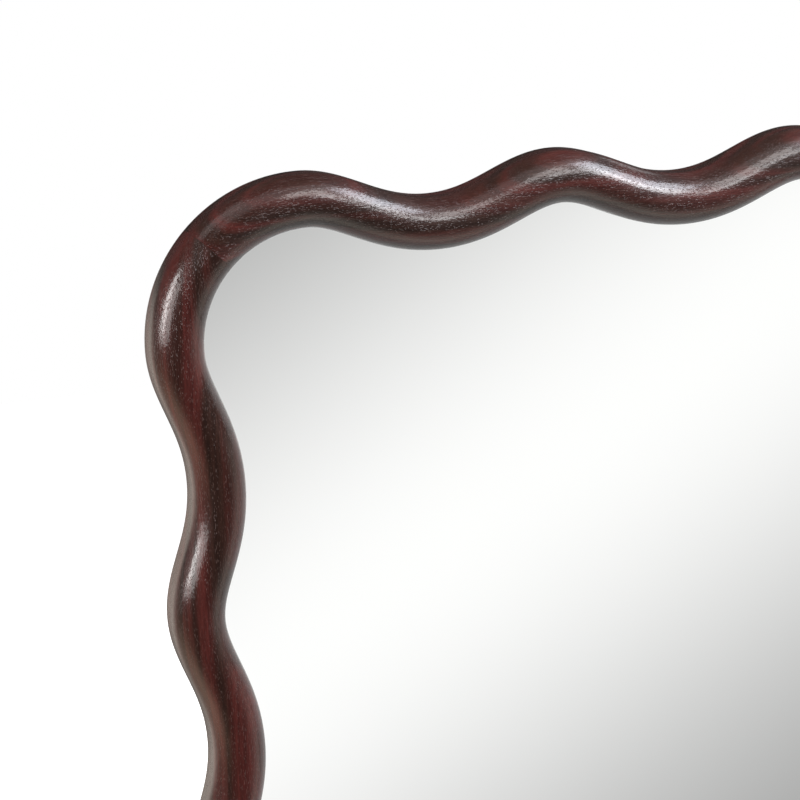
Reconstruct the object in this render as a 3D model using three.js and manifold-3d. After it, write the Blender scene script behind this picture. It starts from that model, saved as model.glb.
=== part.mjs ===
// Wall mirror in a wavy solid-wood frame.
// Millimetres, +Z up. The mirror faces -Y and hangs on the wall plane Y = 0. The origin lies on that
// plane, midway between the pivots of the two hanging rings.
//
// Every frame rail is built in its own frame: X runs along the rail, Z points out of the mirror, Y = 0
// is the back of the frame and -Y is its front. "Rise" is a height above the back of the frame, towards
// the front. "Side" is a distance from the rail's centreline, positive towards the outside.

import * as THREE from "three";
import { mergeVertices } from "three/addons/utils/BufferGeometryUtils.js";
import Module from "manifold-3d";

const wasm = await Module();
wasm.setup();

// ---- Driving dimensions ----

// Outline
const overallWidth = 610;
const overallHeight = 914;
const cornerRadius = 89; // outer edge of the quarter-round corner lobes
const wavesAcross = 3; // waves between the corner lobes, top and bottom
const wavesDown = 5; // waves between the corner lobes, left and right
const waveDepthAcross = 18.7; // crest to valley, top and bottom
const waveDepthDown = 16.7; // crest to valley, left and right
const crestSharpening = 0.7; // second harmonic: crests a little tighter than valleys

// Rail section
const railWidth = 29;
const sideWallRise = 15.5; // straight side of the rail, from its back
const crownRise = 16.5; // rounded front, above the straight side
const backChamfer = 1;
const glassRabbetWidth = 7;
const boardRabbetWidth = 14;

// What the frame holds
const glassThickness = 4;
const boardThickness = 3;
const boardRecess = 4; // from the back of the frame to the back of the board
const edgeClearance = 0.5; // glass and board to the rabbets' sides

// Corner dowels
const dowelDiameter = 6;
const dowelLength = 24;
const dowelCover = 5; // wood behind each dowel

// Screws
const shankDiameter = 3;
const screwLength = 12; // under the head
const screwTip = 2;
const headDiameter = 6;
const headThickness = 1.8;
const recessWidth = 0.8; // cross recess in the head
const recessSpan = 3.4;
const recessDepth = 1.1;

// Hangers: a folded steel strap round a wire ring
const hangerInset = 1.2; // from the middle of the flat strip behind the board's rabbet, inwards
const strapWidth = 8;
const sheetThickness = 1; // the strap is two sheets thick
const ringToHead = 2.75; // from the hanging ring to the upper screw's head
const strapScrewSpacing = 11;
const strapEndMargin = 7; // from the lower screw to the strap's end
const wireDiameter = 2.5;
const ringWidth = 13; // between the middles of its two sides
const ringDrop = 17; // from the pivot to the middle of the bow
const ringBend = 2;
const ringButtGap = 0.5; // between the wire's two ends, inside the barrel
const hangerValley = 1; // the strap is centred on this valley, counted from the top

// Bumpers
const bumperDiameter = 12;
const bumperFaceDiameter = 9;
const bumperSkirt = 2.2; // straight part, next to the frame
const wallClearance = 0.5; // from the hangers to the wall

// Fits
const seatGap = 0.3; // between pieces that rest on each other
const mitreGap = 0.3;

// Steps along curves
const railStep = 12;
const crownSteps = 8;
const roundSteps = 8;
const bendSteps = 6; // for each curved stretch of sheet metal
const wireSteps = 32;
const wireSides = 8;

// ---- Sizes that follow ----

const lineRadius = cornerRadius - railWidth / 2; // corner lobe, on the rail's centreline
const across = { span: overallWidth - 2 * cornerRadius, waves: wavesAcross, depth: waveDepthAcross };
const down = { span: overallHeight - 2 * cornerRadius, waves: wavesDown, depth: waveDepthDown };
const boardSeatRise = boardRecess + boardThickness + seatGap;
const glassSeatRise = boardSeatRise + glassThickness + seatGap;
const innerSide = -railWidth / 2;
const glassEdgeSide = innerSide + glassRabbetWidth - edgeClearance;
const boardEdgeSide = innerSide + boardRabbetWidth - edgeClearance;
const boardScrewSide = innerSide + (glassRabbetWidth + boardRabbetWidth) / 2;
const backStripSide = boardRabbetWidth / 2; // middle of the flat strip left behind the board's rabbet
const strapSide = backStripSide - hangerInset;
const holeDiameter = shankDiameter + 2 * seatGap;
const dowelPlaces = [
  { name: "rear", side: backStripSide, rise: dowelCover + dowelDiameter / 2 },
  { name: "front", side: 0, rise: glassSeatRise + dowelCover + dowelDiameter / 2 },
];
const strapThickness = 2 * sheetThickness;
const pivotDepth = seatGap + strapThickness + seatGap + wireDiameter / 2; // behind the frame's back
const barrelRadius = wireDiameter / 2 + seatGap + sheetThickness;
const upperScrewDrop = ringDrop + wireDiameter / 2 + ringToHead + headDiameter / 2; // below the pivot
const strapScrewDrops = [upperScrewDrop, upperScrewDrop + strapScrewSpacing];
const strapLength = strapScrewDrops[1] + strapEndMargin;
const bumperThickness = pivotDepth + barrelRadius + wallClearance - seatGap;
const backY = -(bumperThickness + seatGap); // back of the frame, off the wall
const pitchDown = down.span / down.waves;
const hangerZ = down.span / 2 - (hangerValley - 0.5) * pitchDown + strapLength / 2;
const hangerX = overallWidth / 2 - railWidth / 2 - down.depth + strapSide;

// ---- Solids ----

function solidOf(geometry) {
  const bare = geometry.clone();
  bare.deleteAttribute("normal");
  bare.deleteAttribute("uv");
  const merged = mergeVertices(bare, 1e-4);
  const vertProperties = new Float32Array(merged.attributes.position.array);
  const triVerts = new Uint32Array(merged.index.array);
  return new wasm.Manifold(new wasm.Mesh({ numProp: 3, vertProperties, triVerts }));
}

function geometryOf(solid) {
  const mesh = solid.getMesh();
  const geometry = new THREE.BufferGeometry();
  geometry.setAttribute("position", new THREE.BufferAttribute(mesh.vertProperties, 3));
  geometry.setIndex(new THREE.BufferAttribute(mesh.triVerts, 1));
  geometry.computeVertexNormals();
  return geometry;
}

function cut(geometry, cutters) {
  let solid = solidOf(geometry);
  for (const cutter of cutters) {
    solid = solid.subtract(solidOf(cutter));
  }
  return geometryOf(solid);
}

// A round bar along Y from one Y to another, centred on (x, z).
function barAlongY(diameter, x, z, fromY, toY) {
  const bar = new THREE.CylinderGeometry(diameter / 2, diameter / 2, toY - fromY, roundSteps);
  return bar.translate(x, (fromY + toY) / 2, z);
}

// ---- Rail centreline ----

// Distance of a rail's centreline below its crests, at a distance along the waves.
function waveHeight(rail, distance) {
  const phase = (2 * Math.PI * distance * rail.waves) / rail.span;
  const wave = (rail.depth / 2) * (Math.cos(phase) - 1);
  return wave + crestSharpening * (Math.cos(2 * phase) - 1);
}

// Half a corner lobe, the waves, and half a corner lobe. Crests lie on Z = 0.
class RailLine extends THREE.Curve {
  constructor(rail) {
    super();
    this.rail = rail;
    this.mitreTurn = mitreGap / 2 / lineRadius;
    this.lobeTurn = Math.PI / 4 - this.mitreTurn;
    this.lobeLength = lineRadius * this.lobeTurn;
  }

  getPoint(t, target = new THREE.Vector3()) {
    const half = this.rail.span / 2;
    const distance = t * (this.rail.span + 2 * this.lobeLength) - this.lobeLength - half;
    const beyond = Math.abs(distance) - half;
    if (beyond <= 0) {
      return target.set(distance, 0, waveHeight(this.rail, distance + half));
    }
    const turn = beyond / lineRadius;
    const x = half + lineRadius * Math.sin(turn);
    return target.set(Math.sign(distance) * x, 0, lineRadius * (Math.cos(turn) - 1));
  }
}

const railLines = new Map([across, down].map((rail) => [rail, new RailLine(rail)]));
const lineOf = (rail) => railLines.get(rail);
const stepsOf = (rail) => Math.round(lineOf(rail).getLength() / railStep);

// Where each rail goes: quarter turns clockwise from the top, seen from the front, and the distance of
// its crests' centreline from the middle of the mirror.
const reachAcross = overallHeight / 2 - railWidth / 2;
const reachDown = overallWidth / 2 - railWidth / 2;
const strapScrewZs = strapScrewDrops.map((drop) => hangerZ - drop);
const railPlaces = [
  { name: "top", rail: across, turn: 0, reach: reachAcross, strapScrewXs: [] },
  { name: "right", rail: down, turn: 1, reach: reachDown, strapScrewXs: strapScrewZs.map((z) => -z) },
  { name: "bottom", rail: across, turn: 2, reach: reachAcross, strapScrewXs: [] },
  { name: "left", rail: down, turn: 3, reach: reachDown, strapScrewXs: strapScrewZs },
];

// ---- Rails ----

// The section is drawn in the sweep's own axes: X is the rise, Y points to the inside.
function railSection() {
  const outline = new THREE.Shape();
  const half = railWidth / 2;
  outline.moveTo(0, -(half - backChamfer));
  outline.lineTo(backChamfer, -half);
  for (let i = 0; i <= crownSteps; i++) {
    const angle = (Math.PI * i) / crownSteps;
    outline.lineTo(sideWallRise + crownRise * Math.sin(angle), -half * Math.cos(angle));
  }
  outline.lineTo(glassSeatRise, half);
  outline.lineTo(glassSeatRise, half - glassRabbetWidth);
  outline.lineTo(boardSeatRise, half - glassRabbetWidth);
  outline.lineTo(boardSeatRise, half - boardRabbetWidth);
  outline.lineTo(0, half - boardRabbetWidth);
  return outline;
}

// Puts a geometry drawn at a mitre, with Z along the mitre's diagonal, at one end of a rail.
function atRailEnd(geometry, rail, end) {
  geometry.rotateY((end * Math.PI) / 4);
  return geometry.translate((end * rail.span) / 2, 0, -lineRadius);
}

function dowelGeometry(place, diameter, length) {
  const dowel = new THREE.CylinderGeometry(diameter / 2, diameter / 2, length, roundSteps);
  dowel.rotateZ(Math.PI / 2);
  return dowel.translate(0, -place.rise, lineRadius + place.side);
}

function boardScrewX(rail, index) {
  return -rail.span / 2 + ((index + 0.5) * rail.span) / rail.waves;
}

function railGeometry(rail, strapScrewXs) {
  const sweep = { steps: stepsOf(rail), extrudePath: lineOf(rail), bevelEnabled: false };
  const cutters = [];
  for (const end of [-1, 1]) {
    for (const place of dowelPlaces) {
      const hole = dowelGeometry(place, dowelDiameter + 2 * seatGap, dowelLength + 2 * seatGap);
      cutters.push(atRailEnd(hole, rail, end));
    }
  }
  for (let i = 0; i < rail.waves; i++) {
    const z = boardScrewSide - rail.depth;
    const depth = boardRecess + screwLength;
    cutters.push(barAlongY(holeDiameter, boardScrewX(rail, i), z, -depth, 1));
  }
  for (const x of strapScrewXs) {
    cutters.push(barAlongY(holeDiameter, x, strapSide - rail.depth, -screwLength, 1));
  }
  return cut(new THREE.ExtrudeGeometry(railSection(), sweep), cutters);
}

// ---- Glass and board ----

// The closed outline that runs at one side distance all round the frame, seen from the front.
function frameOutline(side) {
  const middle = new THREE.Vector2();
  const points = [];
  for (const { rail, turn, reach } of railPlaces) {
    const line = lineOf(rail);
    const steps = stepsOf(rail);
    for (let i = 0; i < steps; i++) {
      const point = line.getPointAt(i / steps);
      const tangent = line.getTangentAt(i / steps);
      const x = point.x - tangent.z * side;
      const z = reach + point.z + tangent.x * side;
      points.push(new THREE.Vector2(x, z).rotateAround(middle, (-turn * Math.PI) / 2));
    }
  }
  return new THREE.Shape(points);
}

// A flat plate with the frame's outline, its back face at the given rise.
function plateGeometry(side, thickness, rise) {
  const plate = new THREE.ExtrudeGeometry(frameOutline(side), { depth: thickness, bevelEnabled: false });
  plate.rotateX(Math.PI / 2);
  return plate.translate(0, -rise, 0);
}

// ---- Hardware ----

// Stands on its tip along +Y, the underside of its head at Y = 0.
function screwGeometry() {
  const shank = shankDiameter / 2;
  const head = headDiameter / 2;
  const profile = [
    new THREE.Vector2(0, -screwLength),
    new THREE.Vector2(shank, screwTip - screwLength),
    new THREE.Vector2(shank, 0),
    new THREE.Vector2(head, 0),
    new THREE.Vector2(head, headThickness / 2),
    new THREE.Vector2(head * 0.6, headThickness),
    new THREE.Vector2(0, headThickness),
  ];
  const recess = [
    new THREE.BoxGeometry(recessSpan, 2 * recessDepth, recessWidth).translate(0, headThickness, 0),
    new THREE.BoxGeometry(recessWidth, 2 * recessDepth, recessSpan).translate(0, headThickness, 0),
  ];
  return cut(new THREE.LatheGeometry(profile, roundSteps), recess);
}

// The strap's side view, across its width: X is up the strap, Y away from the frame's back, and the
// ring's pivot is the origin. The lower sheet lifts off the frame to wrap the barrel.
function strapProfile() {
  const seat = seatGap - pivotDepth;
  const face = seat + strapThickness;
  const liftAngle = -0.28 * Math.PI;
  const shoulderAngle = 2 * Math.PI + Math.atan2(face, -Math.sqrt(barrelRadius ** 2 - face ** 2));
  const profile = new THREE.Shape();
  profile.moveTo(-strapLength, seat);
  profile.lineTo(-sheetThickness, seat);
  profile.absarc(0, 0, barrelRadius, liftAngle, shoulderAngle, false);
  profile.lineTo(-strapLength, face);
  const eye = new THREE.Path();
  eye.absarc(0, 0, wireDiameter / 2 + seatGap, 0, 2 * Math.PI, true);
  profile.holes.push(eye);
  return profile;
}

// The strap's plan, with its round lower end, as a block thick enough to hold the whole strap.
function strapPlanBlock() {
  const half = strapWidth / 2;
  const depth = 4 * pivotDepth;
  const plan = new THREE.Shape();
  plan.moveTo(half, 2 * barrelRadius);
  plan.lineTo(-half, 2 * barrelRadius);
  plan.absarc(0, half - strapLength, half, Math.PI, 2 * Math.PI, false);
  const block = new THREE.ExtrudeGeometry(plan, { depth, bevelEnabled: false, curveSegments: bendSteps });
  return block.rotateX(Math.PI / 2).translate(0, depth / 2, 0);
}

function strapGeometry() {
  const sweep = { depth: 2 * strapWidth, bevelEnabled: false, curveSegments: bendSteps };
  const folded = new THREE.ExtrudeGeometry(strapProfile(), sweep);
  folded.translate(0, 0, -strapWidth);
  folded.rotateY(-Math.PI / 2);
  const blank = geometryOf(solidOf(folded).intersect(solidOf(strapPlanBlock())));
  const drill = (drop) => barAlongY(holeDiameter, 0, -drop, -2 * pivotDepth, pivotDepth);
  return cut(blank, strapScrewDrops.map(drill));
}

// One bent wire whose ends butt inside the barrel, hanging below the pivot.
class RingLine extends THREE.Curve {
  constructor() {
    super();
    const half = ringWidth / 2;
    const outline = new THREE.Path();
    outline.moveTo(ringButtGap / 2, 0);
    outline.lineTo(half - ringBend, 0);
    outline.absarc(half - ringBend, -ringBend, ringBend, Math.PI / 2, 0, true);
    outline.lineTo(half, half - ringDrop);
    outline.absarc(0, half - ringDrop, half, 0, -Math.PI, true);
    outline.lineTo(-half, -ringBend);
    outline.absarc(ringBend - half, -ringBend, ringBend, Math.PI, Math.PI / 2, true);
    outline.lineTo(-ringButtGap / 2, 0);
    this.outline = outline;
  }

  getPoint(t, target = new THREE.Vector3()) {
    const point = this.outline.getPoint(t);
    return target.set(point.x, 0, point.y);
  }
}

function ringGeometry() {
  const points = [];
  for (let i = 0; i < wireSides; i++) {
    const angle = (2 * Math.PI * i) / wireSides;
    points.push(new THREE.Vector2(Math.cos(angle), Math.sin(angle)).multiplyScalar(wireDiameter / 2));
  }
  const sweep = { steps: wireSteps, extrudePath: new RingLine(), bevelEnabled: false };
  return new THREE.ExtrudeGeometry(new THREE.Shape(points), sweep);
}

// A rubber foot with its base at Y = 0 and its face towards +Y.
function bumperGeometry() {
  const profile = [
    new THREE.Vector2(0, 0),
    new THREE.Vector2(bumperDiameter / 2, 0),
    new THREE.Vector2(bumperDiameter / 2, bumperSkirt),
    new THREE.Vector2(bumperFaceDiameter / 2, bumperThickness),
    new THREE.Vector2(0, bumperThickness),
  ];
  return new THREE.LatheGeometry(profile, 2 * roundSteps);
}

// ---- Materials ----

const finishes = {
  darkWood: { color: 0x3a1a17, roughness: 0.35, metalness: 0 },
  paleWood: { color: 0xc9a878, roughness: 0.7, metalness: 0 },
  mirror: { color: 0xd9dcdb, roughness: 0.03, metalness: 1 },
  hardboard: { color: 0x8a6a48, roughness: 0.8, metalness: 0 },
  steel: { color: 0xb9bbbd, roughness: 0.35, metalness: 1 },
  rubber: { color: 0x2b2b2d, roughness: 0.85, metalness: 0 },
};

function piece(name, geometry, finish) {
  const mesh = new THREE.Mesh(geometry, new THREE.MeshStandardMaterial(finishes[finish]));
  mesh.name = name;
  return mesh;
}

// ---- Assembly ----

const mirror = new THREE.Group();
mirror.position.set(0, backY, -hangerZ);

// Rails, each with the screws that hold the board to it.
for (const { name, rail, turn, reach, strapScrewXs } of railPlaces) {
  const side = new THREE.Group();
  side.rotation.y = (turn * Math.PI) / 2;
  const held = new THREE.Group();
  held.position.z = reach;
  held.add(piece(`rail_${name}`, railGeometry(rail, strapScrewXs), "darkWood"));
  for (let i = 0; i < rail.waves; i++) {
    const screw = piece(`board_screw_${name}_${i + 1}`, screwGeometry(), "steel");
    screw.position.set(boardScrewX(rail, i), seatGap - boardRecess, boardScrewSide - rail.depth);
    held.add(screw);
  }
  side.add(held);
  mirror.add(side);
}

// Dowels across the four mitres.
const corners = [
  { name: "top_right", x: 1, z: 1, turn: 0.5 },
  { name: "bottom_right", x: 1, z: -1, turn: 1.5 },
  { name: "bottom_left", x: -1, z: -1, turn: 2.5 },
  { name: "top_left", x: -1, z: 1, turn: 3.5 },
];
for (const { name, x, z, turn } of corners) {
  const corner = new THREE.Group();
  corner.position.set((x * across.span) / 2, 0, (z * down.span) / 2);
  corner.rotation.y = (turn * Math.PI) / 2;
  for (const place of dowelPlaces) {
    const geometry = dowelGeometry(place, dowelDiameter, dowelLength);
    corner.add(piece(`dowel_${name}_${place.name}`, geometry, "paleWood"));
  }
  mirror.add(corner);

  // The bumper sits where the corner lobe meets the waves of the top or bottom rail.
  const bumper = piece(`bumper_${name}`, bumperGeometry(), "rubber");
  bumper.position.set((x * across.span) / 2, seatGap, z * (reachAcross + backStripSide));
  mirror.add(bumper);
}

// Glass against its rabbet, board against the glass.
mirror.add(piece("mirror_plate", plateGeometry(glassEdgeSide, glassThickness, boardSeatRise), "mirror"));
const board = plateGeometry(boardEdgeSide, boardThickness, boardRecess);
const boardHoles = [];
for (const { rail, turn, reach } of railPlaces) {
  for (let i = 0; i < rail.waves; i++) {
    const z = reach + boardScrewSide - rail.depth;
    const hole = barAlongY(holeDiameter, boardScrewX(rail, i), z, -boardSeatRise, 1);
    boardHoles.push(hole.rotateY((turn * Math.PI) / 2));
  }
}
mirror.add(piece("backing_board", cut(board, boardHoles), "hardboard"));

// Hangers, one on each side rail.
for (const { name, x } of [{ name: "left", x: -1 }, { name: "right", x: 1 }]) {
  const hanger = new THREE.Group();
  hanger.position.set(x * hangerX, pivotDepth, hangerZ);
  hanger.add(piece(`hanger_strap_${name}`, strapGeometry(), "steel"));
  hanger.add(piece(`hanger_ring_${name}`, ringGeometry(), "steel"));
  strapScrewDrops.forEach((drop, i) => {
    const screw = piece(`strap_screw_${name}_${i + 1}`, screwGeometry(), "steel");
    screw.position.set(0, seatGap + strapThickness + seatGap - pivotDepth, -drop);
    hanger.add(screw);
  });
  mirror.add(hanger);
}

const group = new THREE.Group();
group.add(mirror);

export default group;
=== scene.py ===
"""The finished look of a wall mirror with a wavy wooden frame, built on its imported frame.

Metres, +Z up. The mirror faces -Y. "Rise" is a height above the back of the frame, towards the
front, and "side" is a distance from a rail's centreline, positive towards the outside.
"""

import math

import bmesh
import bpy
from mathutils import Matrix, Vector


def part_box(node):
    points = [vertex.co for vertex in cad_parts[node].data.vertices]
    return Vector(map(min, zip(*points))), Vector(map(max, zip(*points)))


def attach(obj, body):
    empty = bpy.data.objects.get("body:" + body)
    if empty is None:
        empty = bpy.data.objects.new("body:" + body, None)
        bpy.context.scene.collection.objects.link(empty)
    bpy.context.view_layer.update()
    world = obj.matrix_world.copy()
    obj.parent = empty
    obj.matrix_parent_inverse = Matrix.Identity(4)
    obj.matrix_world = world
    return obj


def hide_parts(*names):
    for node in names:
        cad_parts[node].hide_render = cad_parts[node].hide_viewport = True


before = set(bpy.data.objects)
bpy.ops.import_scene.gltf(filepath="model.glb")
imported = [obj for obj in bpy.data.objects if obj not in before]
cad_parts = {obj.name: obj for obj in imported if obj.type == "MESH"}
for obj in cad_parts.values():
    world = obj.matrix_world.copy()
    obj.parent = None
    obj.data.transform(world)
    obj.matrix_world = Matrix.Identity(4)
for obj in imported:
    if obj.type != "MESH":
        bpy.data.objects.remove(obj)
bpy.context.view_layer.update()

# ---- Sizes ----

MM = 0.001

CORNER_RADIUS = 89 * MM
WAVES_ACROSS = 3
WAVES_DOWN = 5
WAVE_DEPTH_ACROSS = 18.7 * MM
WAVE_DEPTH_DOWN = 16.7 * MM
CREST_SHARPENING = 0.7 * MM

RAIL_WIDTH = 29 * MM
SIDE_WALL_RISE = 15.5 * MM
CROWN_RISE = 16.5 * MM
BACK_EDGE_RADIUS = 1 * MM
LIP_EDGE_RADIUS = 0.5 * MM
GLASS_RABBET_WIDTH = 7 * MM
BOARD_RABBET_WIDTH = 14 * MM
EDGE_CLEARANCE = 0.5 * MM
MITRE_GAP = 0.06 * MM

RAIL_STEP = 2 * MM
CROWN_STEPS = 48
EDGE_STEPS = 4
SHARP_ANGLE = 35  # degrees, the least turn between faces that shows as an edge
BEVEL_ANGLE = 40  # degrees, the least turn between faces that gets a bevel
BEVEL_STEPS = 2

PLATE_ARRIS = 0.4 * MM
BOARD_ARRIS = 0.25 * MM

ROUND_STEPS = 40
HEAD_DIAMETER = 6 * MM
HEAD_THICKNESS = 1.8 * MM
HEAD_SKIRT = 0.5 * MM
HEAD_BEVEL = 0.12 * MM
DOME_STEPS = 8
RECESS_SPAN = 3.4 * MM
RECESS_WIDTH = 0.8 * MM
RECESS_DEPTH = 1.1 * MM
SCREW_LENGTH = 12 * MM  # under the head
SCREW_TIP = 2 * MM
THREAD_DIAMETER = 3 * MM
CORE_DIAMETER = 2.1 * MM
THREAD_PITCH = 1.2 * MM
THREAD_RIDGE = 0.3  # half the width of the thread's ridge, in pitches
THREAD_STEPS = 8  # along each turn of the thread
SHANK_STEPS = 20  # round the shank
PLAIN_SHANK = 1 * MM
SCREW_TURN = math.radians(137.5)  # from one screw to the next, so that no two recesses line up

SHEET_THICKNESS = 1 * MM
STRAP_SEAM = 0.08 * MM
STRAP_WIDTH = 8 * MM
STRAP_BEVEL = 0.15 * MM
FOLD_START = -0.28 * math.pi  # where the sheet meets its barrel, from straight up
SEAT_GAP = 0.3 * MM
WIRE_DIAMETER = 2.5 * MM
RING_BEND = 2 * MM
RING_BUTT_GAP = 0.5 * MM
WIRE_SIDES = 24
WIRE_STEP = 0.4 * MM

BUMPER_SKIRT = 2.2 * MM
BUMPER_FACE_DIAMETER = 9 * MM
BUMPER_EDGE_RADIUS = 0.8 * MM
BUMPER_BASE_BEVEL = BUMPER_EDGE_RADIUS / 4
BUMPER_STEPS = 48
BUMPER_EDGE_STEPS = 6

# Places that come from the frame.
BACK_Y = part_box("rail_top")[1].y
MIDDLE = (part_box("mirror_plate")[0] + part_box("mirror_plate")[1]) / 2
OVERALL_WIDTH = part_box("rail_right")[1].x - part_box("rail_left")[0].x
OVERALL_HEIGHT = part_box("rail_top")[1].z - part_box("rail_bottom")[0].z
GLASS_RISES = [BACK_Y - corner.y for corner in reversed(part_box("mirror_plate"))]
BOARD_RISES = [BACK_Y - corner.y for corner in reversed(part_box("backing_board"))]
GLASS_SEAT_RISE = GLASS_RISES[1] + SEAT_GAP
BOARD_SEAT_RISE = GLASS_RISES[0]

# ---- Mesh helpers ----


def add_object(name, mesh):
    obj = bpy.data.objects.new(name, mesh)
    bpy.context.scene.collection.objects.link(obj)
    return obj


def mesh_from(name, vertices, faces):
    mesh = bpy.data.meshes.new(name)
    mesh.from_pydata(vertices, [], faces)
    mesh.validate()
    mesh.update()
    return mesh


def finish_piece(obj, body, nodes, materials):
    """Gives a new piece its materials, puts it on the body it rides on, and hides the frame's parts it
    takes the place of.
    """
    for material in materials:
        obj.data.materials.append(material)
    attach(obj, body)
    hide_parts(*nodes)


def shade_smooth(mesh):
    """Smooth shading, apart from the edges that turn by more than the sharp angle."""
    mesh.shade_smooth()
    mesh.set_sharp_from_angle(angle=math.radians(SHARP_ANGLE))


def facing_outwards(mesh):
    """The same mesh, a closed one, with all its faces turned to point out of it."""
    solid = bmesh.new()
    solid.from_mesh(mesh)
    bmesh.ops.recalc_face_normals(solid, faces=solid.faces)
    solid.to_mesh(mesh)
    solid.free()
    return mesh


# ---- The rails' centreline ----


class Rail:
    """One side of the frame: its waves, and where it goes, in quarter turns from the top."""

    def __init__(self, name, turn, waves, depth, length, reach):
        self.name = name
        self.angle = turn * math.pi / 2
        self.waves = waves
        self.depth = depth
        self.span = length - 2 * CORNER_RADIUS
        self.reach = reach - RAIL_WIDTH / 2
        self.lobe_radius = CORNER_RADIUS - RAIL_WIDTH / 2

    def wave(self, along):
        """Height and slope of the centreline, along measured from the middle of the rail."""
        rate = 2 * math.pi * self.waves / self.span
        phase = rate * (along + self.span / 2)
        height = self.depth / 2 * (math.cos(phase) - 1)
        height += CREST_SHARPENING * (math.cos(2 * phase) - 1)
        slope = -self.depth / 2 * rate * math.sin(phase)
        slope -= CREST_SHARPENING * 2 * rate * math.sin(2 * phase)
        return height, slope

    def stations(self, gap):
        """(x, z, tangent x, tangent z) along the rail, its ends half the gap short of the mitres."""
        rows = []
        half = self.span / 2
        lobe_turn = math.pi / 4 - gap / 2 / self.lobe_radius
        lobe_steps = round(self.lobe_radius * lobe_turn / RAIL_STEP)
        wave_steps = round(self.span / RAIL_STEP)
        for i in range(lobe_steps):
            rows.append(self.lobe_row(-1, half, lobe_turn * (1 - i / lobe_steps)))
        for i in range(wave_steps + 1):
            along = -half + self.span * i / wave_steps
            height, slope = self.wave(along)
            length = math.hypot(1, slope)
            rows.append((along, height, 1 / length, slope / length))
        for i in range(1, lobe_steps + 1):
            rows.append(self.lobe_row(1, half, lobe_turn * i / lobe_steps))
        return rows

    def lobe_row(self, end, half, turn):
        x = end * (half + self.lobe_radius * math.sin(turn))
        z = self.lobe_radius * (math.cos(turn) - 1)
        return x, z, math.cos(turn), -end * math.sin(turn)

    def place(self, x, z):
        """A point of the rail's own plane in the shared frame, as (x, z)."""
        z += self.reach
        cos, sin = math.cos(self.angle), math.sin(self.angle)
        return MIDDLE.x + x * cos + z * sin, MIDDLE.z - x * sin + z * cos


RAILS = [
    Rail("top", 0, WAVES_ACROSS, WAVE_DEPTH_ACROSS, OVERALL_WIDTH, OVERALL_HEIGHT / 2),
    Rail("right", 1, WAVES_DOWN, WAVE_DEPTH_DOWN, OVERALL_HEIGHT, OVERALL_WIDTH / 2),
    Rail("bottom", 2, WAVES_ACROSS, WAVE_DEPTH_ACROSS, OVERALL_WIDTH, OVERALL_HEIGHT / 2),
    Rail("left", 3, WAVES_DOWN, WAVE_DEPTH_DOWN, OVERALL_HEIGHT, OVERALL_WIDTH / 2),
]


# ---- Rails ----


def arc(side, rise, radius, start, end, steps):
    """Points of an arc in the section plane, angles in degrees from the outside towards the front."""
    points = []
    for i in range(steps + 1):
        angle = math.radians(start + (end - start) * i / steps)
        points.append((side + radius * math.cos(angle), rise + radius * math.sin(angle)))
    return points


def rail_section():
    """The closed section as (side, rise), and how many of its first edges lie on the finished face."""
    half = RAIL_WIDTH / 2
    back = BACK_EDGE_RADIUS
    lip = LIP_EDGE_RADIUS
    face = arc(half - back, back, back, -90, 0, EDGE_STEPS)
    for i in range(CROWN_STEPS + 1):
        angle = math.pi * i / CROWN_STEPS
        face.append((half * math.cos(angle), SIDE_WALL_RISE + CROWN_RISE * math.sin(angle)))
    face += arc(lip - half, GLASS_SEAT_RISE + lip, lip, 180, 270, EDGE_STEPS)
    rabbets = [
        (GLASS_RABBET_WIDTH - half, GLASS_SEAT_RISE),
        (GLASS_RABBET_WIDTH - half, BOARD_SEAT_RISE),
        (BOARD_RABBET_WIDTH - half, BOARD_SEAT_RISE),
        (BOARD_RABBET_WIDTH - half, 0),
    ]
    return face + rabbets, len(face) - 1


def rail_mesh(rail):
    section, face_edges = rail_section()
    count = len(section)
    vertices = []
    for x, z, tangent_x, tangent_z in rail.stations(MITRE_GAP):
        for side, rise in section:
            px, pz = rail.place(x - tangent_z * side, z + tangent_x * side)
            vertices.append((px, BACK_Y - rise, pz))
    rows = len(vertices) // count
    faces = [list(range(count)), list(range((rows - 1) * count, rows * count))[::-1]]
    zones = [1, 1]
    for row in range(rows - 1):
        for i in range(count):
            a = row * count + i
            b = row * count + (i + 1) % count
            faces.append([b, a, a + count, b + count])
            zones.append(0 if i < face_edges else 1)
    mesh = mesh_from(f"{rail.name}_rail", vertices, faces)
    mesh.polygons.foreach_set("material_index", zones)
    shade_smooth(mesh)
    return mesh


# ---- Glass and board ----


def frame_outline(side):
    """The closed line at one side distance all round the frame, as (x, z), clockwise from the front."""
    points = []
    for rail in RAILS:
        for x, z, tangent_x, tangent_z in rail.stations(0)[:-1]:
            points.append(rail.place(x - tangent_z * side, z + tangent_x * side))
    return points


def plate_mesh(name, side, rises, arris):
    """A flat plate with the frame's outline and both edges bevelled. Its front is material 0."""
    low, high = rises
    rings = [(side - arris, low), (side, low + arris), (side, high - arris), (side - arris, high)]
    vertices = []
    for ring_side, rise in rings:
        vertices += [(x, BACK_Y - rise, z) for x, z in frame_outline(ring_side)]
    count = len(vertices) // len(rings)
    faces = [list(range(3 * count, 4 * count))[::-1], list(range(count))]
    for ring in range(len(rings) - 1):
        for i in range(count):
            a = ring * count + i
            b = ring * count + (i + 1) % count
            faces.append([a + count, b + count, b, a])
    mesh = mesh_from(name, vertices, faces)
    mesh.polygons.foreach_set("material_index", [0] + [1] * (len(faces) - 1))
    return mesh


# ---- Hardware ----


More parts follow.
